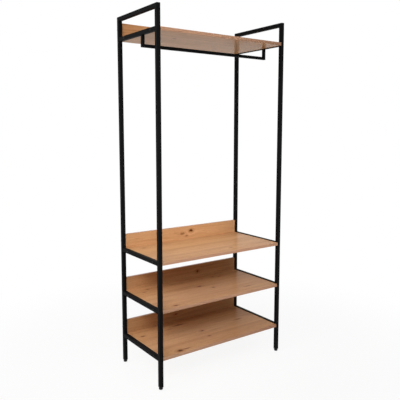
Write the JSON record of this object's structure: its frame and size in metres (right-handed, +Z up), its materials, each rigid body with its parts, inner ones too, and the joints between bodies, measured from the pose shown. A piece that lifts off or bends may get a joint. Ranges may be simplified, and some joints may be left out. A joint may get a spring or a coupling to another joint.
{
  "type": "open frame wardrobe",
  "caption": "Open wardrobe of black square tube side frames joined by wood-grain shelves with rear upstands, with a hat shelf, a hanging bar below it and levelling feet.",
  "frame": {"origin": "middle of the footprint, on the floor", "axes": "+X to the right as seen from the front, +Y to the rear, +Z up"},
  "size_m": [0.8066, 0.4, 1.85],
  "materials": {
    "frame_coat": "satin black powder coat on steel tube",
    "oak_board": "light oak decor with knots, semi-matt",
    "black_plastic": "matt black moulded plastic",
    "black_steel": "black oxide steel",
    "zinc_steel": "zinc plated steel",
    "beech_dowel": "plain beech"
  },
  "bodies": {
    "frame": {"left_front_post": "frame_coat", "left_rear_post": "frame_coat", "left_top_rail": "frame_coat", "left_hat_shelf_rail": "frame_coat", "left_bench_shelf_rail": "frame_coat", "left_middle_shelf_rail": "frame_coat", "left_bottom_shelf_rail": "frame_coat", "right_front_post": "frame_coat", "right_rear_post": "frame_coat", "right_top_rail": "frame_coat", "right_hat_shelf_rail": "frame_coat", "right_bench_shelf_rail": "frame_coat", "right_middle_shelf_rail": "frame_coat", "right_bottom_shelf_rail": "frame_coat", "hat_shelf_board": "oak_board", "hat_shelf_upstand": "oak_board", "hat_shelf_bolts": "black_steel", "hat_shelf_inserts": "zinc_steel", "hat_shelf_upstand_bolts": "black_steel", "hat_shelf_upstand_inserts": "zinc_steel", "hat_shelf_dowels": "beech_dowel", "bench_shelf_board": "oak_board", "bench_shelf_upstand": "oak_board", "bench_shelf_bolts": "black_steel", "bench_shelf_inserts": "zinc_steel", "bench_shelf_upstand_bolts": "black_steel", "bench_shelf_upstand_inserts": "zinc_steel", "bench_shelf_dowels": "beech_dowel", "middle_shelf_board": "oak_board", "middle_shelf_upstand": "oak_board", "middle_shelf_bolts": "black_steel", "middle_shelf_inserts": "zinc_steel", "middle_shelf_upstand_bolts": "black_steel", "middle_shelf_upstand_inserts": "zinc_steel", "middle_shelf_dowels": "beech_dowel", "bottom_shelf_board": "oak_board", "bottom_shelf_upstand": "oak_board", "bottom_shelf_bolts": "black_steel", "bottom_shelf_inserts": "zinc_steel", "bottom_shelf_upstand_bolts": "black_steel", "bottom_shelf_upstand_inserts": "zinc_steel", "bottom_shelf_dowels": "beech_dowel", "hanging_bar": "frame_coat", "left_hanging_bar_drop": "frame_coat", "right_hanging_bar_drop": "frame_coat", "hanging_bar_blocks": "zinc_steel", "hanging_bar_bolts": "black_steel", "left_front_foot_plug": "black_plastic", "left_rear_foot_plug": "black_plastic", "right_front_foot_plug": "black_plastic", "right_rear_foot_plug": "black_plastic"},
    "left_front_foot": {"left_front_foot_pad": "black_plastic", "left_front_foot_stem": "zinc_steel"},
    "left_rear_foot": {"left_rear_foot_pad": "black_plastic", "left_rear_foot_stem": "zinc_steel"},
    "right_front_foot": {"right_front_foot_pad": "black_plastic", "right_front_foot_stem": "zinc_steel"},
    "right_rear_foot": {"right_rear_foot_pad": "black_plastic", "right_rear_foot_stem": "zinc_steel"}
  },
  "joints": [
    {"name": "left_front_foot_screw", "type": "slide", "parent": "frame", "child": "left_front_foot", "axis": [0, 0, -1], "range_m": [0, 0.01]},
    {"name": "left_rear_foot_screw", "type": "slide", "parent": "frame", "child": "left_rear_foot", "axis": [0, 0, -1], "range_m": [0, 0.01]},
    {"name": "right_front_foot_screw", "type": "slide", "parent": "frame", "child": "right_front_foot", "axis": [0, 0, -1], "range_m": [0, 0.01]},
    {"name": "right_rear_foot_screw", "type": "slide", "parent": "frame", "child": "right_rear_foot", "axis": [0, 0, -1], "range_m": [0, 0.01]}
  ]
}
